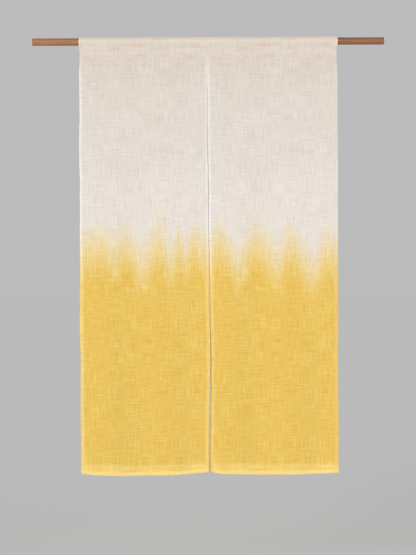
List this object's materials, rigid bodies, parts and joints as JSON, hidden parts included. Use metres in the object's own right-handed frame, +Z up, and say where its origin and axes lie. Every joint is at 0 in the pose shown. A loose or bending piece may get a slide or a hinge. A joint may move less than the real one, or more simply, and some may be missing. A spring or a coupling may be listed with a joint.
{
  "type": "noren curtain on a rod",
  "caption": "Doorway curtain of two linen panels sewn together at the top and slit below, dip-dyed in two tones, hung by a sewn pocket on a round wooden rod.",
  "frame": {"origin": "centre of the rod's left end face, on the rod's axis", "axes": "+X along the rod towards its right end, +Z up, -Y towards the viewer of the curtain's front"},
  "size_m": [1.2, 0.031, 1.4985],
  "materials": {
    "linen": "matt slubbed plain weave, undyed off-white above and dip-dyed warm yellow below, hems lighter",
    "rod_wood": "satin, warm mid brown with fine grain along the rod"
  },
  "bodies": {
    "root": {"panel_left": "linen", "panel_right": "linen", "rod": "rod_wood"}
  },
  "joints": []
}
